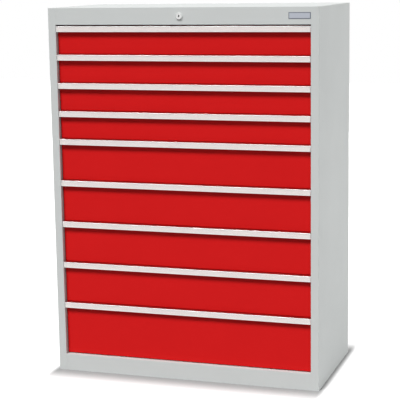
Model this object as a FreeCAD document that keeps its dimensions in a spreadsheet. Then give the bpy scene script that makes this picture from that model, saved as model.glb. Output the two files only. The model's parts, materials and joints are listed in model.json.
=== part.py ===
import FreeCAD, Part

import math
import os
import re

import Sketcher

# A steel drawer cabinet: a folded housing, nine drawers on telescopic slides,
# and one lock that lifts a bar with a hook for every drawer.
#
# Frame: +X to the right seen from the front, +Y to the rear, +Z up.
# The origin is the middle of the footprint, on the floor.

# Driving dimensions in millimetres.
SIZES = {
    # Housing
    "cabinet_width": 978.0,
    "cabinet_depth": 493.0,
    "stile_width": 28.5,
    "top_rail_height": 59.0,
    "bottom_rail_height": 60.0,
    "housing_sheet": 1.5,
    "fold_radius": 0.8,
    "edge_break": 0.7,
    "return_depth": 20.0,
    "rear_flange": 20.0,
    "foot_flange": 30.0,
    "base_lap": 26.0,
    # Height that each kind of drawer takes up in the front
    "small_pitch": 100.0,
    "medium_pitch": 150.0,
    "large_pitch": 200.0,
    # Drawer fronts
    "panel_recess": 15.0,
    "front_depth": 18.0,
    "drawer_sheet": 1.2,
    "side_gap": 1.5,
    "front_gap": 2.5,
    # Grip profile along the top of each front
    "grip_drop": 5.0,
    "grip_height": 20.0,
    "grip_wall": 2.6,
    "grip_skin": 1.8,
    "grip_leg": 1.2,
    "leg_height": 8.0,
    "finger_lip": 4.0,
    "label_lip": 2.2,
    "label_groove": 1.0,
    # Trays
    "tray_length": 400.0,
    "tray_rise": 6.0,
    "tray_headroom": 16.0,
    "tray_rim": 5.0,
    # Telescopic slides
    "slide_setback": 1.0,
    "slide_width": 13.5,
    "slide_height": 45.0,
    "slide_rise": 8.0,
    "slide_sheet": 1.5,
    "slide_gap": 0.4,
    "slide_start": 2.0,
    "fixed_length": 420.0,
    "moving_length": 400.0,
    # Slotted posts that carry the slides
    "post_width": 40.0,
    "post_inset": 16.5,
    "slot_pitch": 25.0,
    "slot_length": 16.0,
    "slot_height": 9.0,
    # Hooks that hold the fixed slide members in the slots
    "slide_hook_width": 14.0,
    "slide_hook_neck": 4.5,
    "slide_hook_drop": 4.0,
    # Lock
    "collar_diameter": 22.0,
    "collar_height": 6.0,
    "collar_bevel": 1.2,
    "barrel_diameter": 19.0,
    "barrel_length": 16.5,
    "barrel_clearance": 0.2,
    "plug_diameter": 13.0,
    "plug_clearance": 0.05,
    "plug_sink": 0.5,
    "plug_tail": 3.0,
    "plug_dish_diameter": 10.5,
    "plug_dish_depth": 0.8,
    "plug_dish_slope": 0.9,
    "keyway_height": 8.0,
    "keyway_width": 2.4,
    "keyway_depth": 12.0,
    "cam_diameter": 22.0,
    "cam_thickness": 3.0,
    "drive_pin_diameter": 5.0,
    "drive_pin_length": 7.0,
    "drive_clearance": 0.4,
    # Locking bar, its crossbar and its guides
    "bar_sheet": 3.0,
    "bar_width": 20.0,
    "bar_setback": 2.5,
    "bar_clearance": 4.0,
    "bar_end": 12.0,
    "crossbar_height": 20.0,
    "crossbar_end": 20.0,
    "crossbar_gap": 2.0,
    "hook_height": 8.0,
    "hook_gap": 2.0,
    "hook_start": 1.5,
    "hook_play": 3.0,
    "rim_clearance": 1.5,
    "catch_reach": 12.0,
    "catch_length": 14.0,
    "guide_sheet": 2.0,
    "guide_flange": 15.0,
    "guide_clearance": 0.4,
    "guide_margin": 0.6,
    "guide_height": 20.0,
}

# The drawers from the top down.
PITCHES = ["small_pitch"] * 4 + ["medium_pitch"] * 4 + ["large_pitch"]
DRAWERS = range(1, len(PITCHES) + 1)
GUIDED_DRAWERS = DRAWERS[1::3]


def floor_of(drawer):
    """Height of the lower end of a drawer's share of the front, as a formula."""
    return "(" + " + ".join(["bottom_rail_height"] + PITCHES[drawer:]) + ")"


# Places that several pieces share, as formulas in the size names.
OPENING_TOP = floor_of(0)
HOUSING_TOP = f"({OPENING_TOP} + top_rail_height - housing_sheet)"
OPENING_HALF = "(cabinet_width / 2 - stile_width)"
INSIDE_HALF = "(cabinet_width / 2 - housing_sheet)"
FRONT_PLANE = "(-cabinet_depth / 2)"
BACK_PLANE = "(cabinet_depth / 2 - housing_sheet)"
BACK_INSIDE = "(cabinet_depth / 2 - 2 * housing_sheet)"
RETURN_END = f"({FRONT_PLANE} + return_depth)"
BASE_TOP = "(bottom_rail_height - housing_sheet)"

PANEL_FACE = f"({FRONT_PLANE} + panel_recess)"
TRAY_FRONT = f"({PANEL_FACE} + front_depth)"
TRAY_BACK = f"({TRAY_FRONT} + tray_length + 2 * drawer_sheet)"
FRONT_HALF = f"({OPENING_HALF} - side_gap)"
SLIDE_OUTER = f"({OPENING_HALF} - slide_setback)"
TRAY_HALF = f"({SLIDE_OUTER} - slide_width)"
SLIDE_FRONT = f"({TRAY_FRONT} + slide_start)"
SLIDE_LOW = "(tray_rise + slide_rise)"
SLIDE_TOP = f"({SLIDE_LOW} + slide_height)"
POST_FRONT = f"({SLIDE_FRONT} + post_inset)"
POST_REAR = f"({SLIDE_FRONT} + fixed_length - post_inset - post_width)"

LOCK_HEIGHT = f"({OPENING_TOP} + top_rail_height / 2)"
CAM_FRONT = "(barrel_length + plug_tail)"
CAM_REAR = "(barrel_length + plug_tail + cam_thickness)"
HOOK_LOW = f"({SLIDE_TOP} + hook_gap)"
HOOK_TRAVEL = "(hook_height + hook_gap)"
HOOK_FRONT = f"({SLIDE_FRONT} + hook_start)"
CATCH_FRONT = f"({HOOK_FRONT} + bar_sheet + hook_play)"
CATCH_LOW = f"({HOOK_LOW} + {HOOK_TRAVEL})"
BAR_INNER = f"({OPENING_HALF} + bar_setback)"
BAR_OUTER = f"({BAR_INNER} + bar_sheet)"
BAR_FRONT = f"({RETURN_END} + bar_clearance)"
CROSSBAR_FRONT = f"({FRONT_PLANE} + {CAM_REAR} + crossbar_gap)"
SLOT_LEVEL = f"({LOCK_HEIGHT} - {HOOK_TRAVEL} / 2)"

document = FreeCAD.newDocument("drawer_cabinet")
nodes = []


def write_sizes():
    """Fill the spreadsheet: a name, its value and its alias on each row."""
    sheet = document.addObject("Spreadsheet::Sheet", "Sizes")
    for row, (name, value) in enumerate(SIZES.items(), start=1):
        sheet.set(f"A{row}", name.replace("_", " "))
        sheet.set(f"B{row}", str(value))
        sheet.setAlias(f"B{row}", name)
    document.recompute()


def bound(formula):
    """Turn a formula in size names into an expression on the spreadsheet."""
    return re.sub(r"[a-z_]+", lambda word: f"Sizes.{word[0]}" if word[0] in SIZES else word[0], formula)


def new_body(name, level="0"):
    """Start a piece whose local floor is at a height given by a formula."""
    body = document.addObject("PartDesign::Body", name)
    body.Label = name
    body.AllowCompound = True
    body.setExpression("Placement.Base.z", bound(level))
    return body


def as_node(piece):
    """Hand a finished piece over to the export."""
    nodes.append(piece)
    return piece


def origin_part(body, role):
    """One of the planes or axes of a body's own origin."""
    for feature in body.Origin.OriginFeatures:
        if feature.Role == role:
            return feature
    raise ValueError(role)


def rectangle(left, low, right, high):
    """Corners of a rectangle, as formulas."""
    return [(left, low), (right, low), (right, high), (left, high)]


def mirrored(loop):
    """The same outline on the other side of the middle."""
    return [(f"-({across})", up) for across, up in reversed(loop)]


def add_polygon(sketch, corners):
    """Draw a closed polygon whose every corner is tied to formulas."""
    count = len(corners)
    first = sketch.GeometryCount
    angles = [math.tau * k / count for k in range(count)]
    ring = [FreeCAD.Vector(math.cos(angle), math.sin(angle), 0) for angle in angles]
    sketch.addGeometry([Part.LineSegment(ring[k], ring[(k + 1) % count]) for k in range(count)])
    joints = []
    for k in range(count):
        joints.append(Sketcher.Constraint("Coincident", first + k, 2, first + (k + 1) % count, 1))
    sketch.addConstraint(joints)
    for k, (across, up) in enumerate(corners):
        tie(sketch, Sketcher.Constraint("DistanceX", first + k, 1, ring[k].x), across)
        tie(sketch, Sketcher.Constraint("DistanceY", first + k, 1, ring[k].y), up)


def add_circle(sketch, across, up, radius):
    """Draw a circle whose centre and radius are tied to formulas."""
    index = sketch.addGeometry(Part.Circle(FreeCAD.Vector(0, 0, 0), FreeCAD.Vector(0, 0, 1), 1))
    tie(sketch, Sketcher.Constraint("DistanceX", index, 3, 0.0), across)
    tie(sketch, Sketcher.Constraint("DistanceY", index, 3, 0.0), up)
    tie(sketch, Sketcher.Constraint("Radius", index, 1.0), radius)


def tie(sketch, constraint, formula):
    """Add a constraint and bind its value."""
    index = sketch.addConstraint(constraint)
    sketch.setExpression(f"Constraints[{index}]", bound(formula))


def add_sketch(body, name, plane, offset, loops):
    """Draw loops on one of the body's own planes, moved along its normal."""
    sketch = body.newObject("Sketcher::SketchObject", name)
    sketch.AttachmentSupport = [(origin_part(body, plane), "")]
    sketch.MapMode = "FlatFace"
    sketch.setExpression("AttachmentOffset.Base.z", bound(offset))
    for loop in loops:
        if isinstance(loop, dict):
            add_circle(sketch, **loop)
        else:
            add_polygon(sketch, loop)
    return sketch


def pad(body, name, plane, loops, low, high):
    """Pad loops from low to high along the axis that the plane faces."""
    offset = f"-({high})" if plane == "XZ_Plane" else low
    sketch = add_sketch(body, f"{name}_outline", plane, offset, loops)
    feature = body.newObject("PartDesign::Pad", name)
    feature.Profile = sketch
    feature.setExpression("Length", bound(f"({high}) - ({low})"))
    document.recompute()
    return feature


def cut(body, name, plane, loops, low, high):
    """Cut loops out of a body from low to high, and see that it cut."""
    before = body.Shape.Volume
    offset = f"-({low})" if plane == "XZ_Plane" else high
    sketch = add_sketch(body, f"{name}_outline", plane, offset, loops)
    feature = body.newObject("PartDesign::Pocket", name)
    feature.Profile = sketch
    feature.setExpression("Length", bound(f"({high}) - ({low})"))
    document.recompute()
    if body.Shape.Volume >= before:
        raise RuntimeError(f"{name} cuts nothing")
    return feature


def revolve(body, name, outline):
    """Turn an outline of (along Y, radius) points about the body's own Y axis."""
    sketch = add_sketch(body, f"{name}_outline", "YZ_Plane", "0", [outline])
    feature = body.newObject("PartDesign::Revolution", name)
    feature.Profile = sketch
    feature.ReferenceAxis = (sketch, ["H_Axis"])
    feature.Angle = 360
    document.recompute()
    return feature


def edges_along(feature, axis, places):
    """Names of the straight edges along an axis that pass through the places."""
    others = [k for k in range(3) if k != axis]
    names = []
    for number, edge in enumerate(feature.Shape.Edges, start=1):
        ends = [vertex.Point for vertex in edge.Vertexes]
        if len(ends) != 2 or abs(abs((ends[1] - ends[0])[axis]) - edge.Length) > 1e-6:
            continue
        here = [ends[0][k] for k in others]
        if any(math.dist(here, place) < 1e-4 for place in places):
            names.append(f"Edge{number}")
    return names


def fillet(body, name, base, edges, radius):
    """Round the named edges of a feature."""
    feature = body.newObject("PartDesign::Fillet", name)
    feature.Base = (base, edges)
    feature.setExpression("Radius", bound(radius))
    document.recompute()
    return feature


# Housing

def side_panel(name, side):
    """A side wall folded round into the front stile and the rear flange."""
    outline = [
        (OPENING_HALF, FRONT_PLANE),
        ("cabinet_width / 2", FRONT_PLANE),
        ("cabinet_width / 2", "cabinet_depth / 2"),
        ("cabinet_width / 2 - rear_flange", "cabinet_depth / 2"),
        ("cabinet_width / 2 - rear_flange", BACK_PLANE),
        (INSIDE_HALF, BACK_PLANE),
        (INSIDE_HALF, f"{FRONT_PLANE} + housing_sheet"),
        (f"{OPENING_HALF} + housing_sheet", f"{FRONT_PLANE} + housing_sheet"),
        (f"{OPENING_HALF} + housing_sheet", RETURN_END),
        (OPENING_HALF, RETURN_END),
    ]
    if side < 0:
        outline = mirrored(outline)
    body = new_body(name)
    wall = pad(body, f"{name}_wall", "XY_Plane", [outline], "0", HOUSING_TOP)
    box = wall.Shape.BoundBox
    sheet = SIZES["housing_sheet"]
    outside = box.XMax if side > 0 else box.XMin
    inside = outside - side * sheet
    opening = box.XMin if side > 0 else box.XMax
    corners = [(outside, box.YMin), (outside, box.YMax)]
    folds = fillet(body, f"{name}_folds", wall, edges_along(wall, 2, corners), "fold_radius + housing_sheet")
    corners = [(inside, box.YMin + sheet), (inside, box.YMax - sheet)]
    folds = fillet(body, f"{name}_inner_folds", folds, edges_along(folds, 2, corners), "fold_radius")
    corners = [(opening, box.YMin)]
    fillet(body, f"{name}_opening_edge", folds, edges_along(folds, 2, corners), "edge_break")
    return as_node(body)


def top_panel():
    """The sheet that closes the top."""
    body = new_body("top_panel", HOUSING_TOP)
    outline = rectangle("-cabinet_width / 2", FRONT_PLANE, "cabinet_width / 2", "cabinet_depth / 2")
    sheet = pad(body, "top_sheet", "XY_Plane", [outline], "0", "housing_sheet")
    box = sheet.Shape.BoundBox
    edges = edges_along(sheet, 0, [(box.YMin, box.ZMax), (box.YMax, box.ZMax)])
    edges += edges_along(sheet, 1, [(box.XMin, box.ZMax), (box.XMax, box.ZMax)])
    edges += edges_along(sheet, 2, [(x, y) for x in (box.XMin, box.XMax) for y in (box.YMin, box.YMax)])
    fillet(body, "top_edges", sheet, edges, "edge_break")
    return as_node(body)


def back_panel():
    """The sheet that closes the rear, in front of the side panels' flanges."""
    body = new_body("back_panel")
    half = f"({INSIDE_HALF} - fold_radius)"
    outline = rectangle(f"-{half}", "0", half, HOUSING_TOP)
    pad(body, "back_sheet", "XZ_Plane", [outline], BACK_INSIDE, BACK_PLANE)
    return as_node(body)


def base_panel():
    """The floor of the housing: it has two long feet, and sills that close the stiles."""
    foot_inner = f"({INSIDE_HALF} - foot_flange)"
    fold = f"({INSIDE_HALF} - housing_sheet)"
    outline = [
        (f"-{foot_inner}", "0"),
        (f"-{foot_inner}", "housing_sheet"),
        (f"-{fold}", "housing_sheet"),
        (f"-{fold}", f"{BASE_TOP} - housing_sheet"),
        (fold, f"{BASE_TOP} - housing_sheet"),
        (fold, "housing_sheet"),
        (foot_inner, "housing_sheet"),
        (foot_inner, "0"),
        (INSIDE_HALF, "0"),
        (INSIDE_HALF, BASE_TOP),
        (f"-{INSIDE_HALF}", BASE_TOP),
        (f"-{INSIDE_HALF}", "0"),
    ]
    body = new_body("base_panel")
    pad(body, "base_sheet", "XZ_Plane", [outline], RETURN_END, BACK_INSIDE)
    sill = rectangle(
        f"{OPENING_HALF} + housing_sheet",
        f"{FRONT_PLANE} + housing_sheet",
        f"{INSIDE_HALF} - fold_radius",
        RETURN_END,
    )
    pad(body, "stile_sills", "XY_Plane", [sill, mirrored(sill)], f"{BASE_TOP} - housing_sheet", BASE_TOP)
    return as_node(body)


def bottom_rail():
    """The plinth under the drawers, folded back over the floor sheet."""
    outline = [
        (FRONT_PLANE, "0"),
        (f"{FRONT_PLANE} + housing_sheet", "0"),
        (f"{FRONT_PLANE} + housing_sheet", BASE_TOP),
        (f"{RETURN_END} + base_lap", BASE_TOP),
        (f"{RETURN_END} + base_lap", "bottom_rail_height"),
        (FRONT_PLANE, "bottom_rail_height"),
    ]
    body = new_body("bottom_rail")
    rail = pad(body, "plinth", "YZ_Plane", [outline], f"-{OPENING_HALF}", OPENING_HALF)
    box = rail.Shape.BoundBox
    fillet(body, "plinth_edge", rail, edges_along(rail, 0, [(box.YMin, box.ZMax)]), "edge_break")
    return as_node(body)


def top_rail():
    """The rail above the drawers, folded back at both edges, with the lock's hole."""
    outline = [
        (FRONT_PLANE, OPENING_TOP),
        (RETURN_END, OPENING_TOP),
        (RETURN_END, f"{OPENING_TOP} + housing_sheet"),
        (f"{FRONT_PLANE} + housing_sheet", f"{OPENING_TOP} + housing_sheet"),
        (f"{FRONT_PLANE} + housing_sheet", f"{HOUSING_TOP} - housing_sheet"),
        (RETURN_END, f"{HOUSING_TOP} - housing_sheet"),
        (RETURN_END, HOUSING_TOP),
        (FRONT_PLANE, HOUSING_TOP),
    ]
    body = new_body("top_rail")
    rail = pad(body, "rail", "YZ_Plane", [outline], f"-{OPENING_HALF}", OPENING_HALF)
    box = rail.Shape.BoundBox
    fillet(body, "rail_edge", rail, edges_along(rail, 0, [(box.YMin, box.ZMin)]), "edge_break")
    hole = {"across": "0", "up": LOCK_HEIGHT, "radius": "barrel_diameter / 2 + barrel_clearance"}
    cut(body, "lock_hole", "XZ_Plane", [hole], FRONT_PLANE, f"{FRONT_PLANE} + housing_sheet")
    return as_node(body)


# Posts and the fixed slide members

def slide_post(name, side, front):
    """A folded post with a column of slots facing the drawers."""
    rear = f"{front} + post_width"
    outline = [
        (SLIDE_OUTER, front),
        (INSIDE_HALF, front),
        (INSIDE_HALF, f"{front} + housing_sheet"),
        (f"{SLIDE_OUTER} + housing_sheet", f"{front} + housing_sheet"),
        (f"{SLIDE_OUTER} + housing_sheet", f"{rear} - housing_sheet"),
        (INSIDE_HALF, f"{rear} - housing_sheet"),
        (INSIDE_HALF, rear),
        (SLIDE_OUTER, rear),
    ]
    if side < 0:
        outline = mirrored(outline)
    body = new_body(name, BASE_TOP)
    pad(body, f"{name}_channel", "XY_Plane", [outline], "0", f"{HOUSING_TOP} - {BASE_TOP}")
    slot = rectangle(
        f"{front} + (post_width - slot_length) / 2",
        "(slot_pitch - slot_height) / 2",
        f"{front} + (post_width + slot_length) / 2",
        "(slot_pitch + slot_height) / 2",
    )
    near = SLIDE_OUTER if side > 0 else f"-({SLIDE_OUTER} + housing_sheet)"
    first = cut(body, f"{name}_slot", "YZ_Plane", [slot], near, f"{near} + housing_sheet")
    room = body.Shape.BoundBox.ZLength
    pattern = body.newObject("PartDesign::LinearPattern", f"{name}_slots")
    pattern.Originals = [first]
    pattern.Direction = (origin_part(body, "Z_Axis"), [""])
    pattern.Occurrences = int(room // SIZES["slot_pitch"])
    pattern.setExpression("Length", bound(f"slot_pitch * ({pattern.Occurrences} - 1)"))
    body.Tip = pattern
    return body


def grouped(name, pieces):
    """Several pieces as one node, kept apart as separate solids."""
    group = document.addObject("Part::Compound", name)
    group.Label = name
    group.Links = pieces
    return as_node(group)


def slide_posts():
    """The four posts."""
    posts = []
    for place, front in (("front", POST_FRONT), ("rear", POST_REAR)):
        for hand, side in (("left", -1), ("right", 1)):
            posts.append(slide_post(f"post_{place}_{hand}", side, front))
    return grouped("slide_posts", posts)


def channel(web, inner, tip, low, high):
    """Section of a channel: its web from web to inner, its flanges reaching on to tip."""
    return [
        (web, low),
        (tip, low),
        (tip, f"{low} + slide_sheet"),
        (inner, f"{low} + slide_sheet"),
        (inner, f"{high} - slide_sheet"),
        (tip, f"{high} - slide_sheet"),
        (tip, high),
        (web, high),
    ]


# The three members of a slide nest in each other with the same running gap.
FLANGE_TIP = f"({TRAY_HALF} + slide_sheet + slide_gap)"
MIDDLE_WEB = f"({SLIDE_OUTER} - slide_sheet - slide_gap)"
DRAWER_TIP = f"({MIDDLE_WEB} - slide_sheet - slide_gap)"
MIDDLE_STEP = "(slide_sheet + slide_gap)"


def lowest_slot(low):
    """Height of the slot in which a slide with its lower edge at low can hang."""
    reach = f"({low} + slide_sheet + slot_height / 2 - {BASE_TOP})"
    return f"({BASE_TOP} + slot_pitch * (ceil({reach} / slot_pitch - 1 / 2) + 1 / 2))"


def slide_hook(low):
    """Section of a hook: a neck through the slot and a tongue down behind the post."""
    rest = f"({lowest_slot(low)} - slot_height / 2)"
    behind = f"({SLIDE_OUTER} + housing_sheet)"
    return [
        (SLIDE_OUTER, rest),
        (behind, rest),
        (behind, f"{rest} - slide_hook_drop"),
        (f"{behind} + slide_sheet", f"{rest} - slide_hook_drop"),
        (f"{behind} + slide_sheet", f"{rest} + slide_hook_neck"),
        (SLIDE_OUTER, f"{rest} + slide_hook_neck"),
    ]


def fixed_members():
    """The outer slide members, one pair for each drawer."""
    body = new_body("fixed_members")
    for drawer in DRAWERS:
        low = f"({floor_of(drawer)} + {SLIDE_LOW})"
        inner = f"({SLIDE_OUTER} - slide_sheet)"
        section = channel(SLIDE_OUTER, inner, FLANGE_TIP, low, f"({low} + slide_height)")
        loops = [section, mirrored(section)]
        pad(body, f"fixed_pair_{drawer}", "XZ_Plane", loops, SLIDE_FRONT, f"{SLIDE_FRONT} + fixed_length")
    return body


def slide_hooks():
    """Two hooks on the back of each outer member, seated in the slots of the posts."""
    body = new_body("slide_hooks")
    for drawer in DRAWERS:
        hook = slide_hook(f"({floor_of(drawer)} + {SLIDE_LOW})")
        for place, post in (("front", POST_FRONT), ("rear", POST_REAR)):
            start = f"({post} + (post_width - slide_hook_width) / 2)"
            loops = [hook, mirrored(hook)]
            pad(body, f"{place}_hooks_{drawer}", "XZ_Plane", loops, start, f"{start} + slide_hook_width")
    return body


def fixed_slides():
    """The slide members that hang in the posts, with their hooks."""
    return grouped("fixed_slides", [fixed_members(), slide_hooks()])


# Drawers

def middle_slides(drawer):
    """The pair of middle members, which run half as far as the drawer."""
    low = f"({SLIDE_LOW} + {MIDDLE_STEP})"
    high = f"({SLIDE_TOP} - {MIDDLE_STEP})"
    section = channel(MIDDLE_WEB, f"({MIDDLE_WEB} - slide_sheet)", FLANGE_TIP, low, high)
    body = new_body(f"drawer_{drawer}_middle_slides", floor_of(drawer))
    loops = [section, mirrored(section)]
    pad(body, f"middle_pair_{drawer}", "XZ_Plane", loops, SLIDE_FRONT, f"{SLIDE_FRONT} + moving_length")
    return as_node(body)


def drawer_slides(drawer):
    """The pair of members on the tray, the right one with the catch for its hook."""
    low = f"({SLIDE_LOW} + 2 * {MIDDLE_STEP})"
    high = f"({SLIDE_TOP} - 2 * {MIDDLE_STEP})"
    section = channel(TRAY_HALF, f"({TRAY_HALF} + slide_sheet)", DRAWER_TIP, low, high)
    body = new_body(f"drawer_{drawer}_slides", floor_of(drawer))
    loops = [section, mirrored(section)]
    pad(body, f"tray_pair_{drawer}", "XZ_Plane", loops, SLIDE_FRONT, f"{SLIDE_FRONT} + moving_length")
    catch_top = f"({CATCH_LOW} + hook_height)"
    riser = rectangle(CATCH_FRONT, f"{high} - slide_sheet", f"{CATCH_FRONT} + catch_length", catch_top)
    pad(body, f"riser_{drawer}", "YZ_Plane", [riser], TRAY_HALF, f"{TRAY_HALF} + slide_sheet")
    tab = rectangle(TRAY_HALF, CATCH_LOW, f"{TRAY_HALF} + catch_reach", catch_top)
    pad(body, f"catch_{drawer}", "XZ_Plane", [tab], CATCH_FRONT, f"{CATCH_FRONT} + slide_sheet")
    return as_node(body)


def drawer_tray(drawer):
    """The tray: four walls and a floor, with a rim turned out on three sides."""
    pitch = PITCHES[drawer - 1]
    top = f"({pitch} - tray_headroom)"
    body = new_body(f"drawer_{drawer}_tray", floor_of(drawer))
    outline = rectangle(f"-{TRAY_HALF}", TRAY_FRONT, TRAY_HALF, TRAY_BACK)
    pad(body, f"tray_block_{drawer}", "XY_Plane", [outline], "tray_rise", top)
    inside = rectangle(
        f"-({TRAY_HALF} - drawer_sheet)",
        f"{TRAY_FRONT} + drawer_sheet",
        f"{TRAY_HALF} - drawer_sheet",
        f"{TRAY_BACK} - drawer_sheet",
    )
    cut(body, f"tray_room_{drawer}", "XY_Plane", [inside], "tray_rise + drawer_sheet", top)
    rim_half = f"({TRAY_HALF} + tray_rim)"
    wall_half = f"({TRAY_HALF} - drawer_sheet)"
    rim = [
        (f"-{rim_half}", TRAY_FRONT),
        (f"-{wall_half}", TRAY_FRONT),
        (f"-{wall_half}", f"{TRAY_BACK} - drawer_sheet"),
        (wall_half, f"{TRAY_BACK} - drawer_sheet"),
        (wall_half, TRAY_FRONT),
        (rim_half, TRAY_FRONT),
        (rim_half, f"{TRAY_BACK} + tray_rim"),
        (f"-{rim_half}", f"{TRAY_BACK} + tray_rim"),
    ]
    pad(body, f"tray_rim_{drawer}", "XY_Plane", [rim], f"{top} - drawer_sheet", top)
    return as_node(body)


def front_low(drawer):
    """Height of a front's lower edge in its own share of the opening."""
    return "front_gap" if drawer == len(PITCHES) else "(front_gap - grip_drop)"


def drawer_front(drawer):
    """The coloured front: a shallow pan, open to the rear, with folded edges."""
    pitch = PITCHES[drawer - 1]
    low = front_low(drawer)
    high = f"({pitch} - grip_drop - grip_skin)"
    body = new_body(f"drawer_{drawer}_front", floor_of(drawer))
    outline = rectangle(f"-{FRONT_HALF}", low, FRONT_HALF, high)
    block = pad(body, f"front_block_{drawer}", "XZ_Plane", [outline], PANEL_FACE, TRAY_FRONT)
    box = block.Shape.BoundBox
    edges = edges_along(block, 0, [(box.YMin, box.ZMin), (box.YMin, box.ZMax)])
    edges += edges_along(block, 2, [(box.XMin, box.YMin), (box.XMax, box.YMin)])
    fillet(body, f"front_folds_{drawer}", block, edges, "fold_radius + drawer_sheet")
    hollow = rectangle(
        f"-({FRONT_HALF} - drawer_sheet)",
        f"{low} + drawer_sheet",
        f"{FRONT_HALF} - drawer_sheet",
        f"{high} - drawer_sheet",
    )
    cut(body, f"front_hollow_{drawer}", "XZ_Plane", [hollow], f"{PANEL_FACE} + drawer_sheet", TRAY_FRONT)
    return as_node(body)


def drawer_grip(drawer):
    """The grip: an extruded strip with a label groove and a lip for the fingers."""
    top = f"({PITCHES[drawer - 1]} - grip_drop)"
    low = f"({top} - grip_height)"
    skin_low = f"({top} - grip_skin)"
    groove = f"({FRONT_PLANE} + label_groove)"
    wall = f"({FRONT_PLANE} + grip_wall)"
    leg = f"({PANEL_FACE} - grip_leg)"
    outline = [
        (FRONT_PLANE, top),
        (FRONT_PLANE, f"{top} - label_lip"),
        (groove, f"{top} - label_lip"),
        (groove, f"{low} + label_lip"),
        (FRONT_PLANE, f"{low} + label_lip"),
        (FRONT_PLANE, low),
        (f"{FRONT_PLANE} + finger_lip", low),
        (f"{FRONT_PLANE} + finger_lip", f"{low} + grip_skin"),
        (wall, f"{low} + grip_skin"),
        (wall, skin_low),
        (leg, skin_low),
        (leg, f"{top} - leg_height"),
        (PANEL_FACE, f"{top} - leg_height"),
        (PANEL_FACE, skin_low),
        (TRAY_FRONT, skin_low),
        (TRAY_FRONT, top),
    ]
    body = new_body(f"drawer_{drawer}_grip", floor_of(drawer))
    strip = pad(body, f"strip_{drawer}", "YZ_Plane", [outline], f"-{FRONT_HALF}", FRONT_HALF)
    box = strip.Shape.BoundBox
    edges = edges_along(strip, 0, [(box.YMin, box.ZMin), (box.YMin, box.ZMax)])
    fillet(body, f"strip_edges_{drawer}", strip, edges, "edge_break")
    return as_node(body)


# Lock

def at_lock(body):
    """Put a body's origin on the lock's axis, in the plane of the front."""
    body.setExpression("Placement.Base.y", bound(FRONT_PLANE))
    body.setExpression("Placement.Base.z", bound(LOCK_HEIGHT))


def lock_housing():
    """The collar in front of the rail and the barrel behind it."""
    body = new_body("lock_housing")
    at_lock(body)
    bore = "plug_diameter / 2 + plug_clearance"
    outline = [
        ("-collar_height", bore),
        ("-collar_height", "collar_diameter / 2 - collar_bevel"),
        ("-collar_height + collar_bevel", "collar_diameter / 2"),
        ("0", "collar_diameter / 2"),
        ("0", "barrel_diameter / 2"),
        ("barrel_length", "barrel_diameter / 2"),
        ("barrel_length", bore),
    ]
    revolve(body, "barrel", outline)
    return as_node(body)


def lock_plug():
    """The plug that the key turns: a dished face with the keyway in it."""
    body = new_body("lock_plug")
    at_lock(body)
    front = "(plug_sink - collar_height)"
    outline = [
        (f"{front} + plug_dish_depth", "0"),
        (f"{front} + plug_dish_depth", "plug_dish_diameter / 2 - plug_dish_slope"),
        (front, "plug_dish_diameter / 2"),
        (front, "plug_diameter / 2"),
        (CAM_FRONT, "plug_diameter / 2"),
        (CAM_FRONT, "0"),
    ]
    revolve(body, "plug", outline)
    keyway = rectangle("-keyway_width / 2", "-keyway_height / 2", "keyway_width / 2", "keyway_height / 2")
    cut(body, "keyway", "XZ_Plane", [keyway], front, f"{front} + keyway_depth")
    return as_node(body)


def lock_cam():
    """The disc behind the plug, with the pin that lifts the crossbar."""
    body = new_body("lock_cam")
    at_lock(body)
    disc = {"across": "0", "up": "0", "radius": "cam_diameter / 2"}
    pad(body, "cam_disc", "XZ_Plane", [disc], CAM_FRONT, CAM_REAR)
    offset = f"-{HOOK_TRAVEL} / 2"
    pin = {"across": offset, "up": offset, "radius": "drive_pin_diameter / 2"}
    pad(body, "drive_pin", "XZ_Plane", [pin], CAM_REAR, f"{CAM_REAR} + drive_pin_length")
    return as_node(body)


def lock_crossbar():
    """The flat bar from the lock to the side, with the slot for the drive pin."""
    rear = f"({CROSSBAR_FRONT} + bar_sheet)"
    tab_rear = f"({BAR_FRONT} + bar_width - hook_gap)"
    outline = [
        ("-crossbar_end", CROSSBAR_FRONT),
        (BAR_INNER, CROSSBAR_FRONT),
        (BAR_INNER, tab_rear),
        (f"{BAR_INNER} - bar_sheet", tab_rear),
        (f"{BAR_INNER} - bar_sheet", rear),
        ("-crossbar_end", rear),
    ]
    body = new_body("lock_crossbar", SLOT_LEVEL)
    pad(body, "crossbar", "XY_Plane", [outline], "-crossbar_height / 2", "crossbar_height / 2")
    reach = "(drive_pin_diameter / 2 + drive_clearance)"
    swing = f"({HOOK_TRAVEL} / 2)"
    slot = rectangle(f"-sqrt(2) * {swing} - {reach}", f"-{reach}", f"-{swing} + {reach}", reach)
    cut(body, "pin_slot", "XZ_Plane", [slot], CROSSBAR_FRONT, rear)
    return as_node(body)


def lock_bar():
    """The upright bar behind the right stile, with a hook for every drawer."""
    lowest = f"({floor_of(len(PITCHES))} + {HOOK_LOW} - bar_end)"
    highest = f"({SLOT_LEVEL} + crossbar_height / 2 + hook_gap)"
    body = new_body("lock_bar")
    flat = rectangle(BAR_INNER, BAR_FRONT, BAR_OUTER, f"{BAR_FRONT} + bar_width")
    pad(body, "flat_bar", "XY_Plane", [flat], lowest, highest)
    tip = f"({TRAY_HALF} + tray_rim + rim_clearance)"
    hooks = []
    for drawer in DRAWERS:
        low = f"({floor_of(drawer)} + {HOOK_LOW})"
        hooks.append(rectangle(tip, low, BAR_OUTER, f"{low} + hook_height"))
    pad(body, "hooks", "XZ_Plane", hooks, HOOK_FRONT, f"{HOOK_FRONT} + bar_sheet")
    return as_node(body)


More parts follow.
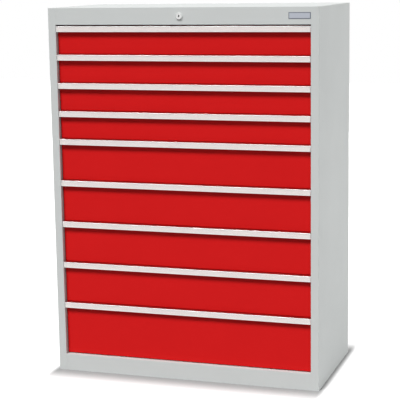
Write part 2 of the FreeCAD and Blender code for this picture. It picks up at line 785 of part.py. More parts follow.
def lock_bar_guides():
    """Angle brackets on the side wall that the locking bar runs through."""
    front = f"({RETURN_END} + guide_margin)"
    rear = f"({POST_FRONT} - guide_margin)"
    tip = f"({BAR_INNER} - guide_sheet)"
    window = rectangle(
        f"{BAR_INNER} - guide_clearance",
        f"{BAR_FRONT} - guide_clearance",
        f"{BAR_OUTER} + guide_clearance",
        f"{BAR_FRONT} + bar_width + guide_clearance",
    )
    body = new_body("lock_bar_guides")
    for drawer in GUIDED_DRAWERS:
        shelf = f"({floor_of(drawer)} + guide_height)"
        bracket = [
            (tip, shelf),
            (f"{INSIDE_HALF} - guide_sheet", shelf),
            (f"{INSIDE_HALF} - guide_sheet", f"{shelf} - guide_flange"),
            (INSIDE_HALF, f"{shelf} - guide_flange"),
            (INSIDE_HALF, f"{shelf} + guide_sheet"),
            (tip, f"{shelf} + guide_sheet"),
        ]
        pad(body, f"bracket_{drawer}", "XZ_Plane", [bracket], front, rear)
        cut(body, f"window_{drawer}", "XY_Plane", [window], shelf, f"{shelf} + guide_sheet")
    return as_node(body)


def build():
    """Make every piece."""
    write_sizes()
    side_panel("side_panel_left", -1)
    side_panel("side_panel_right", 1)
    top_panel()
    back_panel()
    base_panel()
    bottom_rail()
    top_rail()
    slide_posts()
    fixed_slides()
    for drawer in DRAWERS:
        drawer_tray(drawer)
        drawer_front(drawer)
        drawer_grip(drawer)
        drawer_slides(drawer)
        middle_slides(drawer)
    lock_housing()
    lock_plug()
    lock_cam()
    lock_crossbar()
    lock_bar()
    lock_bar_guides()
    document.recompute()


def check():
    """Stop if any feature failed or any piece is empty or broken."""
    for item in document.Objects:
        if "Invalid" in item.State or "Error" in item.State:
            raise RuntimeError(f"{item.Name} failed: {item.State}")
    for piece in nodes:
        if piece.Shape.isNull() or not piece.Shape.isValid() or not piece.Shape.Solids:
            raise RuntimeError(f"{piece.Label} has no sound shape")


def export():
    """Write each piece to its own file."""
    os.makedirs("parts", exist_ok=True)
    for piece in nodes:
        piece.Shape.exportStep(f"parts/{piece.Label}.step")
        solids = len(piece.Shape.Solids)
        print(f"{piece.Label}: {solids} solid(s), {piece.Shape.Volume / 1000:.1f} cm3")


build()
check()
export()
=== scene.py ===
import json
import math

import bmesh
import bpy
from mathutils import Matrix, Vector


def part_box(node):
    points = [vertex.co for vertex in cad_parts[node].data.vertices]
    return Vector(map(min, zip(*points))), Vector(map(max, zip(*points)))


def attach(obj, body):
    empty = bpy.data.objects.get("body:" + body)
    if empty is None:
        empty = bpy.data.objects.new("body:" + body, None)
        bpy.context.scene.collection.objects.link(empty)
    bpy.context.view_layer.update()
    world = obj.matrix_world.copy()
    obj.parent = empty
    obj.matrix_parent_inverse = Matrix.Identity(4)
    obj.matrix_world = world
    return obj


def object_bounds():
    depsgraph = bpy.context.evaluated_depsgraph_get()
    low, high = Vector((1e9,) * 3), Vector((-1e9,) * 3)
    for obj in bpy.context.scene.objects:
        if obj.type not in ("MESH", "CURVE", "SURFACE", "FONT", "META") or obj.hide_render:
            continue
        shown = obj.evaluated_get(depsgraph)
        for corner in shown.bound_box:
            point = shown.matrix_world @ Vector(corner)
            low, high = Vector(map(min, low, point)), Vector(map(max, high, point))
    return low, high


# A red and light-grey steel drawer cabinet, dressed around its CAD frame.
# Metres, +X to the right seen from the front, +Y to the rear, +Z up.

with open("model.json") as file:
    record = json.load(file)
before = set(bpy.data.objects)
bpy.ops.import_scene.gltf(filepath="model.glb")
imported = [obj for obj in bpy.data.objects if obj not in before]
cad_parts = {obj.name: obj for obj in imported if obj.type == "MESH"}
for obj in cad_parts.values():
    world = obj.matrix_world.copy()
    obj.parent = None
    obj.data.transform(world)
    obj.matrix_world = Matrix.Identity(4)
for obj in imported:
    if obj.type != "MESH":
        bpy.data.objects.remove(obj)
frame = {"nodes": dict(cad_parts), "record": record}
NODES = frame["nodes"]
CAD_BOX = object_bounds()
DRAWERS = range(1, 10)
# The housing stands centred on the origin. Only the lock's collar stands before its front.
HOUSING_RIGHT, HOUSING_REAR, _ = CAD_BOX[1]
HOUSING_FRONT = -HOUSING_REAR


# Camera

# The photograph's camera, fitted to the cabinet's edges. Angles in radians, the lens in millimetres.
CAMERA_PLACE = (1.4641, -4.4821, 1.4346)
CAMERA_YAW = 0.31888
CAMERA_PITCH = 0.17298
CAMERA_ROLL = -0.01497
CAMERA_LENS = 117.19
CAMERA_REACH = 60.0


def make_camera():
    """The camera at the photograph's viewing angle."""
    forward = Vector((
        -math.sin(CAMERA_YAW) * math.cos(CAMERA_PITCH),
        math.cos(CAMERA_YAW) * math.cos(CAMERA_PITCH),
        -math.sin(CAMERA_PITCH),
    ))
    level = Vector((math.cos(CAMERA_YAW), math.sin(CAMERA_YAW), 0.0))
    upright = level.cross(forward)
    right = level * math.cos(CAMERA_ROLL) + upright * math.sin(CAMERA_ROLL)
    up = upright * math.cos(CAMERA_ROLL) - level * math.sin(CAMERA_ROLL)
    turn = Matrix((right, up, -forward)).transposed()
    data = bpy.data.cameras.new("studio_camera")
    data.lens = CAMERA_LENS
    data.clip_end = CAMERA_REACH
    camera = bpy.data.objects.new("studio_camera", data)
    camera.matrix_world = Matrix.Translation(CAMERA_PLACE) @ turn.to_4x4()
    bpy.context.scene.collection.objects.link(camera)
    bpy.context.scene.camera = camera


make_camera()
bpy.context.scene.view_settings.view_transform = "Standard"


# Nodes

def node(tree, kind, links=None, **settings):
    """Add a node: settings are its properties, links its input values or sockets."""
    made = tree.nodes.new(kind)
    for key, value in settings.items():
        setattr(made, key, value)
    for key, value in (links or {}).items():
        if isinstance(value, bpy.types.NodeSocket):
            tree.links.new(value, made.inputs[key])
        else:
            made.inputs[key].default_value = value
    return made


def maths(tree, operation, *values):
    """The result of one operation on numbers."""
    return node(tree, "ShaderNodeMath", dict(enumerate(values)), operation=operation).outputs[0]


def vector_maths(tree, operation, *values):
    """The result of one operation on vectors."""
    made = node(tree, "ShaderNodeVectorMath", dict(enumerate(values)), operation=operation)
    return made.outputs["Value" if operation in ("LENGTH", "DOT_PRODUCT") else "Vector"]


def ramp(tree, value, start, end, low=0.0, high=1.0, **settings):
    """A value that runs from low to high while the given one runs from start to end."""
    links = {"Value": value, "From Min": start, "From Max": end, "To Min": low, "To Max": high}
    return node(tree, "ShaderNodeMapRange", links, **settings).outputs["Result"]


def noise(tree, place, scale, detail, roughness=0.5, distortion=0.0):
    """Cloudy noise from 0 to 1."""
    links = {
        "Vector": place, "Scale": scale, "Detail": detail, "Roughness": roughness, "Distortion": distortion,
    }
    return node(tree, "ShaderNodeTexNoise", links).outputs["Fac"]


def surface_place(tree):
    """The point of the surface in the piece's own coordinates, in metres."""
    return node(tree, "ShaderNodeTexCoord").outputs["Object"]


# A Mix node's sockets for colours go by number, because its other sockets have the same names.
MIX_FACTOR, MIX_FIRST, MIX_SECOND, MIX_RESULT = 0, 6, 7, 2


def mixed(tree, mask, first, second):
    """Blend two colours by a mask."""
    links = {MIX_FACTOR: mask, MIX_FIRST: first, MIX_SECOND: second}
    return node(tree, "ShaderNodeMix", links, data_type="RGBA").outputs[MIX_RESULT]


def new_material(name):
    """A material with its Principled shader."""
    material = bpy.data.materials.new(name)
    material.use_nodes = True
    tree = material.node_tree
    return material, tree, tree.nodes["Principled BSDF"]


# Studio

def aim_lamp(data, place, target):
    """Put a lamp at a place and turn it to a point."""
    lamp = bpy.data.objects.new(data.name, data)
    lamp.location = place
    aim = Vector(target) - Vector(place)
    lamp.rotation_euler = aim.to_track_quat("-Z", "Y").to_euler()
    bpy.context.scene.collection.objects.link(lamp)
    return lamp


def key_light(name, place, target, spread, strength):
    """A far light that falls evenly, from a disc of a given spread in degrees."""
    data = bpy.data.lights.new(name, "SUN")
    data.angle = math.radians(spread)
    data.energy = strength
    aim_lamp(data, place, target)


def fill_light(name, place, target, size, power):
    """A rectangular softbox that metal doesn't mirror."""
    data = bpy.data.lights.new(name, "AREA")
    data.shape = "RECTANGLE"
    data.size, data.size_y = size
    data.energy = power
    aim_lamp(data, place, target).visible_glossy = False


# What a mirrored background shows of the white that the eye sees.
GLOSS_SHARE = 0.75
# The world's level as a light.
WORLD_LEVEL = 0.15
FLOOR_REACH = 12.0
FLOOR_CELLS = 8
FLOOR_GREY = 0.31
FLOOR_ROUGHNESS = 0.9
HALF_FOOTPRINT = (HOUSING_RIGHT, HOUSING_REAR, 0.0)
# The floor turns to white for the eye at this distance before and behind the cabinet's foot.
LIFT_END = 0.155
# Beside the foot it turns to white this many times nearer.
SIDE_HASTE = (5.0, 1.0, 1.0)


def seen_by_eye(tree):
    """1 for camera and transmission rays, a little less for glossy ones, 0 for light on its way."""
    rays = node(tree, "ShaderNodeLightPath").outputs
    straight = maths(tree, "MAXIMUM", rays["Is Camera Ray"], rays["Is Transmission Ray"])
    mirrored = maths(tree, "MULTIPLY", rays["Is Glossy Ray"], GLOSS_SHARE)
    return maths(tree, "MAXIMUM", straight, mirrored)


def make_world():
    """An even studio: white where it is seen or mirrored, dimmer as a light."""
    world = bpy.data.worlds.new("studio")
    world.use_nodes = True
    bpy.context.scene.world = world
    tree = world.node_tree
    background = tree.nodes["Background"]
    background.inputs["Color"].default_value = (1.0, 1.0, 1.0, 1.0)
    level = ramp(tree, seen_by_eye(tree), 0.0, 1.0, WORLD_LEVEL)
    tree.links.new(level, background.inputs["Strength"])


def make_floor():
    """A pale floor that keeps the cabinet's soft shadow."""
    shape = bmesh.new()
    bmesh.ops.create_grid(shape, x_segments=FLOOR_CELLS, y_segments=FLOOR_CELLS, size=FLOOR_REACH)
    mesh = bpy.data.meshes.new("studio_floor")
    shape.to_mesh(mesh)
    shape.free()
    floor = bpy.data.objects.new("studio_floor", mesh)
    bpy.context.scene.collection.objects.link(floor)
    material, tree, shader = new_material("studio_floor")
    shader.inputs["Base Color"].default_value = (FLOOR_GREY, FLOOR_GREY, FLOOR_GREY, 1.0)
    shader.inputs["Roughness"].default_value = FLOOR_ROUGHNESS
    shader.inputs["Emission Color"].default_value = (1.0, 1.0, 1.0, 1.0)
    place = vector_maths(tree, "ABSOLUTE", surface_place(tree))
    beyond = vector_maths(tree, "SUBTRACT", place, HALF_FOOTPRINT)
    outside = vector_maths(tree, "MAXIMUM", beyond, (0.0, 0.0, 0.0))
    away = vector_maths(tree, "LENGTH", vector_maths(tree, "MULTIPLY", outside, SIDE_HASTE))
    ring = ramp(tree, away, 0.0, LIFT_END, interpolation_type="SMOOTHSTEP")
    lift = maths(tree, "MULTIPLY", seen_by_eye(tree), ring)
    tree.links.new(lift, shader.inputs["Emission Strength"])
    mesh.materials.append(material)


make_world()
make_floor()
key_light("left_key", (-6.4, -14.2, 19.8), (0.0, -0.2, 0.7), spread=19.0, strength=3.02)
key_light("right_key", (8.2, -14.2, 19.8), (0.0, -0.2, 0.7), spread=19.0, strength=0.78)
fill_light("right_softbox", (6.6, 1.9, 1.2), (0.4, 0.0, 0.7), size=(3.0, 1.8), power=213.0)
fill_light("top_softbox", (0.4, 3.2, 8.0), (0.0, 0.1, 1.3), size=(3.0, 3.0), power=182.0)
fill_light("rear_softbox", (-1.8, 6.8, 1.1), (0.0, 0.2, 0.7), size=(3.0, 1.8), power=195.0)


# Shader groups: surface effects that several finishes share

FLOAT = "NodeSocketFloat"
VECTOR = "NodeSocketVector"

# Cosines of the turn between the plain and the rounded surface where edge wear and its painted highlight
# begin and where they are full.
WEAR_AND_HIGHLIGHT_TURN = (0.985, 0.80)
# Levels of the noise between which the edge wear and painted highlight are patchy.
WEAR_AND_HIGHLIGHT_PATCHES = (0.42, 0.62)
# Levels of the noise between which smudges go from clean to full.
SMUDGE_LEVELS = (0.3, 0.7)
# Shares of a weld mark's radius where its hollow begins and where it is full.
WELD_RIM = (1.0, 0.6)


def new_group(name, inputs, outputs):
    """An empty node group, with the sockets that come in and the ones that go out."""
    group = bpy.data.node_groups.new(name, "ShaderNodeTree")
    for label, kind, value in inputs:
        socket = group.interface.new_socket(label, in_out="INPUT", socket_type=kind)
        socket.default_value = value
    for label in outputs:
        group.interface.new_socket(label, in_out="OUTPUT", socket_type=FLOAT)
    start = group.nodes.new("NodeGroupInput")
    end = group.nodes.new("NodeGroupOutput")
    return group, start.outputs, end.inputs


def orange_peel_group():
    """The fine pebbled skin of baked powder coat, and its slow waviness."""
    group, given, result = new_group(
        "orange_peel", [("Scale", FLOAT, 700.0), ("Depth", FLOAT, 0.3)], ["Height", "Cloud"],
    )
    place = surface_place(group)
    skin = noise(group, place, given["Scale"], detail=2.0, roughness=0.45)
    group.links.new(maths(group, "MULTIPLY", skin, given["Depth"]), result["Height"])
    group.links.new(noise(group, place, scale=5.0, detail=3.0), result["Cloud"])
    return group


def edge_wear_and_highlight_group():
    """A mask of the outer edges, for their wear and a painted highlight on them, broken up as light handling
    wears them.
    """
    group, given, result = new_group(
        "edge_wear_and_highlight",
        [("Width", FLOAT, 0.0012), ("Breakup", FLOAT, 90.0), ("Amount", FLOAT, 0.5)],
        ["Mask"],
    )
    rounded = node(group, "ShaderNodeBevel", {"Radius": given["Width"]}, samples=4).outputs["Normal"]
    plain = node(group, "ShaderNodeNewGeometry").outputs["Normal"]
    edge = ramp(group, vector_maths(group, "DOT_PRODUCT", rounded, plain), *WEAR_AND_HIGHLIGHT_TURN)
    clouds = noise(group, surface_place(group), given["Breakup"], detail=4.0, roughness=0.6)
    patches = ramp(group, clouds, *WEAR_AND_HIGHLIGHT_PATCHES)
    worn_and_highlit = maths(group, "MULTIPLY", edge, patches)
    group.links.new(maths(group, "MULTIPLY", worn_and_highlit, given["Amount"]), result["Mask"])
    return group


def drawn_grain_group():
    """Fine lines along X, Y or Z, as drawing or brushing leaves them in metal."""
    group, given, result = new_group(
        "drawn_grain",
        [("Stretch", VECTOR, (6.0, 900.0, 900.0)), ("Depth", FLOAT, 0.3)],
        ["Height", "Streak"],
    )
    drawn = vector_maths(group, "MULTIPLY", surface_place(group), given["Stretch"])
    streak = noise(group, drawn, scale=1.0, detail=3.0)
    group.links.new(maths(group, "MULTIPLY", streak, given["Depth"]), result["Height"])
    group.links.new(streak, result["Streak"])
    return group


def handling_group():
    """Faint smudges that change the sheen where hands and cloths have been."""
    group, given, result = new_group(
        "handling", [("Scale", FLOAT, 9.0), ("Low", FLOAT, 0.35), ("High", FLOAT, 0.45)], ["Roughness"],
    )
    place = surface_place(group)
    smudge = noise(group, place, given["Scale"], detail=5.0, roughness=0.55, distortion=0.6)
    sheen = ramp(group, smudge, *SMUDGE_LEVELS, low=given["Low"], high=given["High"])
    group.links.new(sheen, result["Roughness"])
    return group


def weld_marks_group():
    """Shallow round marks of spot welds in a row up each rear flange."""
    group, given, result = new_group(
        "weld_marks",
        [
            ("Column", FLOAT, 0.479), ("Pitch", FLOAT, 0.110),
            ("Radius", FLOAT, 0.003), ("Plane", FLOAT, 0.2462),
        ],
        ["Height"],
    )
    axes = node(group, "ShaderNodeSeparateXYZ", {0: surface_place(group)}).outputs
    across = maths(group, "SUBTRACT", maths(group, "ABSOLUTE", axes["X"]), given["Column"])
    up = maths(group, "PINGPONG", axes["Z"], given["Pitch"])
    offset = node(group, "ShaderNodeCombineXYZ", {"X": across, "Y": up}).outputs[0]
    share = maths(group, "DIVIDE", vector_maths(group, "LENGTH", offset), given["Radius"])
    rear = maths(group, "GREATER_THAN", axes["Y"], given["Plane"])
    mark = maths(group, "MULTIPLY", ramp(group, share, *WELD_RIM), rear)
    group.links.new(maths(group, "MULTIPLY", mark, -1.0), result["Height"])
    return group


ORANGE_PEEL = orange_peel_group()
EDGE_WEAR_AND_HIGHLIGHT = edge_wear_and_highlight_group()
DRAWN_GRAIN = drawn_grain_group()
WELD_MARKS = weld_marks_group()
HANDLING = handling_group()


def use(tree, group, **values):
    """Place a shader group in a material with its own values, and give its outputs."""
    return node(tree, "ShaderNodeGroup", values, node_tree=group).outputs


def bump(tree, shader, height, strength, distance):
    """Raise the surface by a height map."""
    made = node(tree, "ShaderNodeBump", {"Height": height, "Strength": strength, "Distance": distance})
    tree.links.new(made.outputs["Normal"], shader.inputs["Normal"])


# Finishes

PAINT_SPECULAR = 0.08
CHROME_METALLIC = 0.75
CHROME_LINES = (40.0, 40.0, 40.0)
COVER_TINT = (0.90, 0.90, 0.90, 1.0)
COVER_ALPHA = 0.05
# The height of the lock's middle, and of the plate beside it.
LOCK_HEIGHT = 1.2895
# Painted shade round the keyway on the plug's face: the radius that is fully shaded, the reach, the largest
# share of the shade colour, and what flattens the patch to the plug's face and stretches it upwards.
PAINTED_SHADE_CORE = 0.0022
PAINTED_SHADE_REACH = 0.0042
PAINTED_SHADE_MOST = 0.7
PAINTED_SHADE_SHAPE = (1.0, 0.0, 0.8)


def linear(red, green, blue):
    """A colour given in 8-bit display values, as the linear one that shaders use."""
    values = []
    for level in (red, green, blue):
        part = level / 255
        values.append(part / 12.92 if part <= 0.04045 else ((part + 0.055) / 1.055) ** 2.4)
    return (*values, 1.0)


CHROME_LIGHT = linear(240, 241, 240)
CHROME_DARK = linear(232, 233, 232)
# The colour of the painted shade round the keyway.
CHROME_PAINTED_SHADE = linear(128, 127, 125)


def powder_coat(name, colour, shade, worn_and_highlit, sheen=(0.44, 0.54), welds=False):
    """Baked powder coat: satin, finely pebbled, a touch lighter on its edges from wear and a painted
    highlight, over any weld marks.
    """
    material, tree, shader = new_material(name)
    shader.inputs["Specular IOR Level"].default_value = PAINT_SPECULAR
    peel = use(tree, ORANGE_PEEL, Scale=650.0, Depth=1.0)
    wear_and_highlight = use(tree, EDGE_WEAR_AND_HIGHLIGHT, Width=0.0009, Breakup=120.0, Amount=0.35)
    smudges = use(tree, HANDLING, Scale=7.0, Low=sheen[0], High=sheen[1])
    paint = mixed(tree, peel["Cloud"], shade, colour)
    # The edges take the lighter colour: edge wear and a painted highlight.
    tree.links.new(mixed(tree, wear_and_highlight["Mask"], paint, worn_and_highlit), shader.inputs["Base Color"])
    tree.links.new(smudges["Roughness"], shader.inputs["Roughness"])
    height = peel["Height"]
    if welds:
        height = maths(tree, "ADD", height, use(tree, WELD_MARKS)["Height"])
    bump(tree, shader, height, strength=0.12, distance=0.0004)
    return material


def drawn_metal(name, light, dark, stretch, roughness, metallic=1.0):
    """Bare or plated metal with the fine lines of its drawing."""
    material, tree, shader = new_material(name)
    shader.inputs["Metallic"].default_value = metallic
    grain = use(tree, DRAWN_GRAIN, Stretch=stretch, Depth=1.0)
    wear_and_highlight = use(tree, EDGE_WEAR_AND_HIGHLIGHT, Width=0.0006, Breakup=200.0, Amount=0.5)
    smudges = use(tree, HANDLING, Scale=16.0, Low=roughness[0], High=roughness[1])
    metal = mixed(tree, grain["Streak"], dark, light)
    # The edges take the light colour: edge wear and a painted highlight.
    tree.links.new(mixed(tree, wear_and_highlight["Mask"], metal, light), shader.inputs["Base Color"])
    tree.links.new(smudges["Roughness"], shader.inputs["Roughness"])
    bump(tree, shader, grain["Height"], strength=0.08, distance=0.0002)
    return material


def clear_cover(name):
    """Thin clear plastic over the label card: mostly see-through, with a faint sheen."""
    material, tree, shader = new_material(name)
    shader.inputs["Base Color"].default_value = COVER_TINT
    shader.inputs["Alpha"].default_value = COVER_ALPHA
    smudges = use(tree, HANDLING, Scale=30.0, Low=0.14, High=0.22)
    tree.links.new(smudges["Roughness"], shader.inputs["Roughness"])
    skin = use(tree, ORANGE_PEEL, Scale=160.0, Depth=1.0)
    bump(tree, shader, skin["Height"], strength=0.02, distance=0.0002)
    return material


def plug_face(name):
    """The plug's chrome, darkened close round the keyway by a painted shade."""
    material, tree, shader = new_material(name)
    shader.inputs["Metallic"].default_value = CHROME_METALLIC
    grain = use(tree, DRAWN_GRAIN, Stretch=CHROME_LINES, Depth=1.0)
    smudges = use(tree, HANDLING, Scale=16.0, Low=0.18, High=0.30)
    offset = vector_maths(tree, "SUBTRACT", surface_place(tree), (0.0, 0.0, LOCK_HEIGHT))
    away = vector_maths(tree, "LENGTH", vector_maths(tree, "MULTIPLY", offset, PAINTED_SHADE_SHAPE))
    # Painted shade: the chrome turns darker close round the keyway.
    painted_shade = ramp(tree, away, PAINTED_SHADE_REACH, PAINTED_SHADE_CORE, high=PAINTED_SHADE_MOST)
    chrome = mixed(tree, grain["Streak"], CHROME_DARK, CHROME_LIGHT)
    tree.links.new(mixed(tree, painted_shade, chrome, CHROME_PAINTED_SHADE), shader.inputs["Base Color"])
    tree.links.new(smudges["Roughness"], shader.inputs["Roughness"])
    bump(tree, shader, grain["Height"], strength=0.08, distance=0.0002)
    return material


# Finishes of the CAD nodes, by the record's material slots. The lines of the grips run along X, those of
# the slides along Y and those of the locking bar along Z.
# The third colour of each powder coat is that of its edges, worn and lightened by a painted highlight.
FINISHES = {
    "housing_paint": powder_coat(
        "housing_powder_coat",
        linear(201, 204, 203), linear(197, 200, 199), linear(216, 218, 216), welds=True,
    ),
    "front_paint": powder_coat(
        "drawer_powder_coat", linear(206, 25, 26), linear(201, 23, 24), linear(222, 66, 60),
    ),
    "tray_paint": powder_coat(
        "tray_powder_coat", linear(176, 179, 181), linear(170, 173, 176), linear(200, 201, 201),
    ),
    "grip_metal": drawn_metal(
        "grip_anodised", linear(228, 227, 226), linear(214, 213, 213),
        stretch=(5.0, 1400.0, 1400.0), roughness=(0.32, 0.42),
    ),
    "slide_steel": drawn_metal(
        "slide_zinc", linear(206, 208, 212), linear(186, 189, 194),
        stretch=(900.0, 6.0, 900.0), roughness=(0.28, 0.40),
    ),
    "bar_steel": drawn_metal(
        "bar_zinc", linear(200, 203, 207), linear(178, 182, 188),
        stretch=(700.0, 700.0, 6.0), roughness=(0.30, 0.45),
    ),
    "lock_chrome": drawn_metal(
        "lock_chrome", CHROME_LIGHT, CHROME_DARK,
        stretch=CHROME_LINES, roughness=(0.16, 0.26), metallic=CHROME_METALLIC,
    ),
}

# Finishes of the small pieces below, and of the plug's face.
SMALL_FINISHES = {
    "plate_rim": powder_coat(
        "plate_print", linear(118, 124, 134), linear(108, 114, 125), linear(156, 160, 168),
    ),
    "plate_face": powder_coat(
        "plate_face", linear(184, 188, 198), linear(176, 181, 191), linear(204, 207, 212),
    ),
    # Painted shade: the keyway's steel is darkened to stand in for the shade inside the keyway.
    "keyway": drawn_metal(
        "keyway_steel_painted_shade", linear(84, 82, 80), linear(60, 59, 58),
        stretch=(900.0, 900.0, 900.0), roughness=(0.50, 0.65),
    ),
    # Painted shade: a deep red for the shade on each grip's top before the fold's upstand.
    "channel": powder_coat(
        "front_channel_coat", linear(104, 14, 16), linear(98, 13, 15), linear(122, 24, 25),
    ),
    "card": powder_coat(
        "label_card", linear(234, 226, 223), linear(229, 221, 218), linear(243, 240, 238), sheen=(0.8, 0.9),
    ),
    "cover": clear_cover("label_cover"),
    "plug": plug_face("lock_plug_chrome"),
}


def dress_nodes():
    """Give each CAD node the finish of its material slot, and the plug its face with painted shade round the
    keyway.
    """
    for part in frame["record"]["subparts"]:
        materials = NODES[part["node"]].data.materials
        materials.clear()
        materials.append(FINISHES[part["material_slot"]])
    NODES["lock_plug"].data.materials[0] = SMALL_FINISHES["plug"]


dress_nodes()


# Small pieces on the cabinet

def add_piece(name, shape, material, body):
    """Turn a bmesh into a piece that rides on a body and may take its finish from a material slot."""
    mesh = bpy.data.meshes.new(name)
    shape.to_mesh(mesh)
    shape.free()
    mesh.materials.append(material)
    piece = bpy.data.objects.new(name, mesh)
    bpy.context.scene.collection.objects.link(piece)
    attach(piece, body)
    return piece


def add_slab(shape, low, high, bevel=0.0):
    """Add a box between two corners to a bmesh, its edges rounded by the bevel."""
    size = [b - a for a, b in zip(low, high)]
    middle = [(a + b) / 2 for a, b in zip(low, high)]
    turn = Matrix.Translation(middle) @ Matrix.Diagonal((*size, 1.0))
    made = bmesh.ops.create_cube(shape, size=1.0, matrix=turn)
    if bevel:
        edges = {edge for vert in made["verts"] for edge in vert.link_edges}
        bmesh.ops.bevel(shape, geom=list(edges), offset=bevel, segments=2, affect="EDGES", profile=0.5)


def add_prism(shape, outline, left, right):
    """Add a prism along X to a bmesh, from an outline of (y, z) points."""
    ends = [[shape.verts.new((x, y, z)) for y, z in outline] for x in (left, right)]
    shape.faces.new(ends[0])
    shape.faces.new(ends[1][::-1])
    for here, after in zip(range(len(outline)), [*range(1, len(outline)), 0]):
        shape.faces.new((ends[0][after], ends[0][here], ends[1][here], ends[1][after]))
    bmesh.ops.recalc_face_normals(shape, faces=shape.faces)


PLATE_RIGHT = 0.4605
PLATE_SIZE = (0.076, 0.0220)
RIM_WIDTH = 0.0026
RIM_BEVEL = 0.0003
FACE_BEVEL = 0.0001
# The plate's rim and its face stand this far off the rail, and the face starts within the rim.
RIM_STAND = 0.0007
FACE_STAND = 0.0009
FACE_START = 0.0004


def make_rail_plate():
    """The small bare plate at the right of the top rail: a pale face in a dark printed rim."""
    left = PLATE_RIGHT - PLATE_SIZE[0]
    bottom = LOCK_HEIGHT - PLATE_SIZE[1] / 2
    top = LOCK_HEIGHT + PLATE_SIZE[1] / 2
    rim = bmesh.new()
    add_slab(rim, (left, HOUSING_FRONT - RIM_STAND, bottom), (PLATE_RIGHT, HOUSING_FRONT, top), RIM_BEVEL)
    add_piece("rail_plate_rim", rim, SMALL_FINISHES["plate_rim"], "housing")
    face = bmesh.new()
    low = (left + RIM_WIDTH, HOUSING_FRONT - FACE_STAND, bottom + RIM_WIDTH)
    high = (PLATE_RIGHT - RIM_WIDTH, HOUSING_FRONT - FACE_START, top - RIM_WIDTH)
    add_slab(face, low, high, FACE_BEVEL)
    add_piece("rail_plate_face", face, SMALL_FINISHES["plate_face"], "housing")


KEYWAY_SIZE = (0.0024, 0.0080)
PLUG_DISH = 0.0008
# The core starts this far behind the bottom of the plug's dish.
KEYWAY_SINK = 0.0006
CORE_DEPTH = 0.004


def make_keyway_core():
    """The pins and wards that show in the keyway, their steel painted dark as painted shade."""
    (_, front, bottom), (_, _, top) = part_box("lock_plug")
    level = (bottom + top) / 2
    start = front + PLUG_DISH + KEYWAY_SINK
    across, up = KEYWAY_SIZE[0] / 2, KEYWAY_SIZE[1] / 2
    core = bmesh.new()
    add_slab(core, (-across, start, level - up), (across, start + CORE_DEPTH, level + up))
    add_piece("keyway_core", core, SMALL_FINISHES["keyway"], "lock_cylinder")


GRIP_LIP = 0.0022
GROOVE_DEPTH = 0.0010
CARD_INSET = 0.002
CARD_THICK = 0.0003
# A gap between the card, its cover and the groove, so that no faces fall together.
CARD_GAP = 0.00005
COVER_INSET = 0.001
COVER_THICK = 0.0004
COVER_BEVEL = 0.0001


def make_label_strips():
    """A bare white card and a clear cover slid into the groove of each grip."""
    for number in DRAWERS:
        (left, front, bottom), (right, _, top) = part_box(f"drawer_{number}_grip")
        back = front + GROOVE_DEPTH
        middle = back - CARD_THICK - CARD_GAP
        low, high = bottom + GRIP_LIP, top - GRIP_LIP
        card = bmesh.new()
        add_slab(
            card,
            (left + CARD_INSET, back - CARD_THICK, low),
            (right - CARD_INSET, back - CARD_GAP, high),
        )
        add_piece(f"label_card_{number}", card, SMALL_FINISHES["card"], f"drawer_{number}")
        cover = bmesh.new()
        add_slab(
            cover,
            (left + COVER_INSET, middle - COVER_THICK, low),
            (right - COVER_INSET, middle, high),
            COVER_BEVEL,
        )
        add_piece(f"label_cover_{number}", cover, SMALL_FINISHES["cover"], f"drawer_{number}")


# The fold's front edge and its upstand lie this far behind the grip's front edge.
FOLD_START = 0.0015
FOLD_UPSTAND = 0.0118
FOLD_SHEET = 0.0008
FOLD_INSET = 0.0005
# Rise of the upstand over the grip's top: more under the rail, where the gap is twice as high.
FOLD_RISE = 0.0017
RAIL_FOLD_RISE = 0.0036


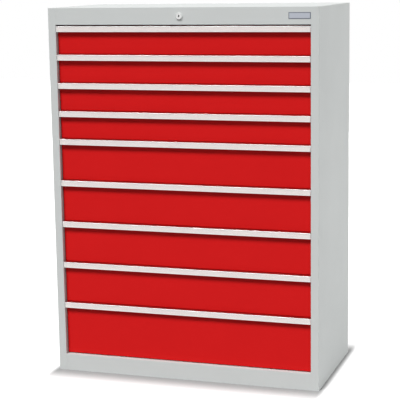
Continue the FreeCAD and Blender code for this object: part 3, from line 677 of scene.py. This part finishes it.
def make_front_folds():
    """The red fold of each front, lapped over the grip's top; its channel before the upstand is painted deep
    red as painted shade.
    """
    for number in DRAWERS:
        (left, front, _), (right, rear, top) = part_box(f"drawer_{number}_grip")
        under_rail = number == 1
        rise = RAIL_FOLD_RISE if under_rail else FOLD_RISE
        start, stand = front + FOLD_START, front + FOLD_UPSTAND
        low, level = top - FOLD_SHEET / 2, top + FOLD_SHEET / 2
        outline = [
            (start, low), (start, level), (stand, level), (stand, top + rise),
            (stand + FOLD_SHEET, top + rise), (stand + FOLD_SHEET, level),
            (rear - FOLD_INSET, level), (rear - FOLD_INSET, low),
        ]
        fold = bmesh.new()
        add_prism(fold, outline, left + FOLD_INSET, right - FOLD_INSET)
        piece = add_piece(
            f"front_fold_{number}", fold, FINISHES["front_paint"], f"drawer_{number}",
        )
        piece.data.materials.append(SMALL_FINISHES["channel"])
        # Under the rail the upstand's front takes the painted shade too.
        channel_end = stand + (FOLD_SHEET if under_rail else -FOLD_SHEET) / 2
        for face in piece.data.polygons:
            face.material_index = int(face.center.y < channel_end)


RIVET_RADIUS = 0.0034
RIVET_RISE = 0.0014
RIVET_STEPS = 16
# The rivets' places along a slide, from its front end.
RIVET_PLACES = (0.030, 0.200, 0.370)
# The domed outline of a rivet's head, from its middle to its rim: share of the radius, share of the rise.
RIVET_DOME = ((0.0, 1.0), (0.45, 0.94), (0.75, 0.74), (0.94, 0.38), (1.0, 0.0))
# Points of the dome closer than this become one.
MERGE_DISTANCE = 1e-6
# The rivets sit on the slide's member, which lies on the tray's wall.
TRAY_WALL = 0.4460
SLIDE_SHEET = 0.0015
SLIDE_FACE_HEIGHT = 0.0374


def add_rivet(shape, middle, outward):
    """Add a domed rivet head that faces along X to a bmesh."""
    x, y, z = middle
    verts = [
        shape.verts.new((x + outward * RIVET_RISE * rise, y, z + RIVET_RADIUS * share))
        for share, rise in RIVET_DOME
    ]
    edges = [shape.edges.new(pair) for pair in zip(verts, verts[1:])]
    bmesh.ops.spin(
        shape, geom=verts + edges, cent=middle, axis=(outward, 0.0, 0.0), angle=math.tau, steps=RIVET_STEPS,
        use_merge=True,
    )
    bmesh.ops.remove_doubles(shape, verts=shape.verts, dist=MERGE_DISTANCE)


def make_slide_rivets():
    """The rivets that hold each drawer's slides on the walls of its tray."""
    for number in DRAWERS:
        (_, front, bottom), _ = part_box(f"drawer_{number}_slides")
        level = bottom + SLIDE_FACE_HEIGHT / 2
        heads = bmesh.new()
        for place in RIVET_PLACES:
            for outward in (1.0, -1.0):
                add_rivet(heads, (outward * (TRAY_WALL + SLIDE_SHEET), front + place, level), outward)
        bmesh.ops.recalc_face_normals(heads, faces=heads.faces)
        piece = add_piece(
            f"slide_rivets_{number}", heads, FINISHES["slide_steel"], f"drawer_{number}",
        )
        for face in piece.data.polygons:
            face.use_smooth = True


make_rail_plate()
make_keyway_core()
make_label_strips()
make_front_folds()
make_slide_rivets()
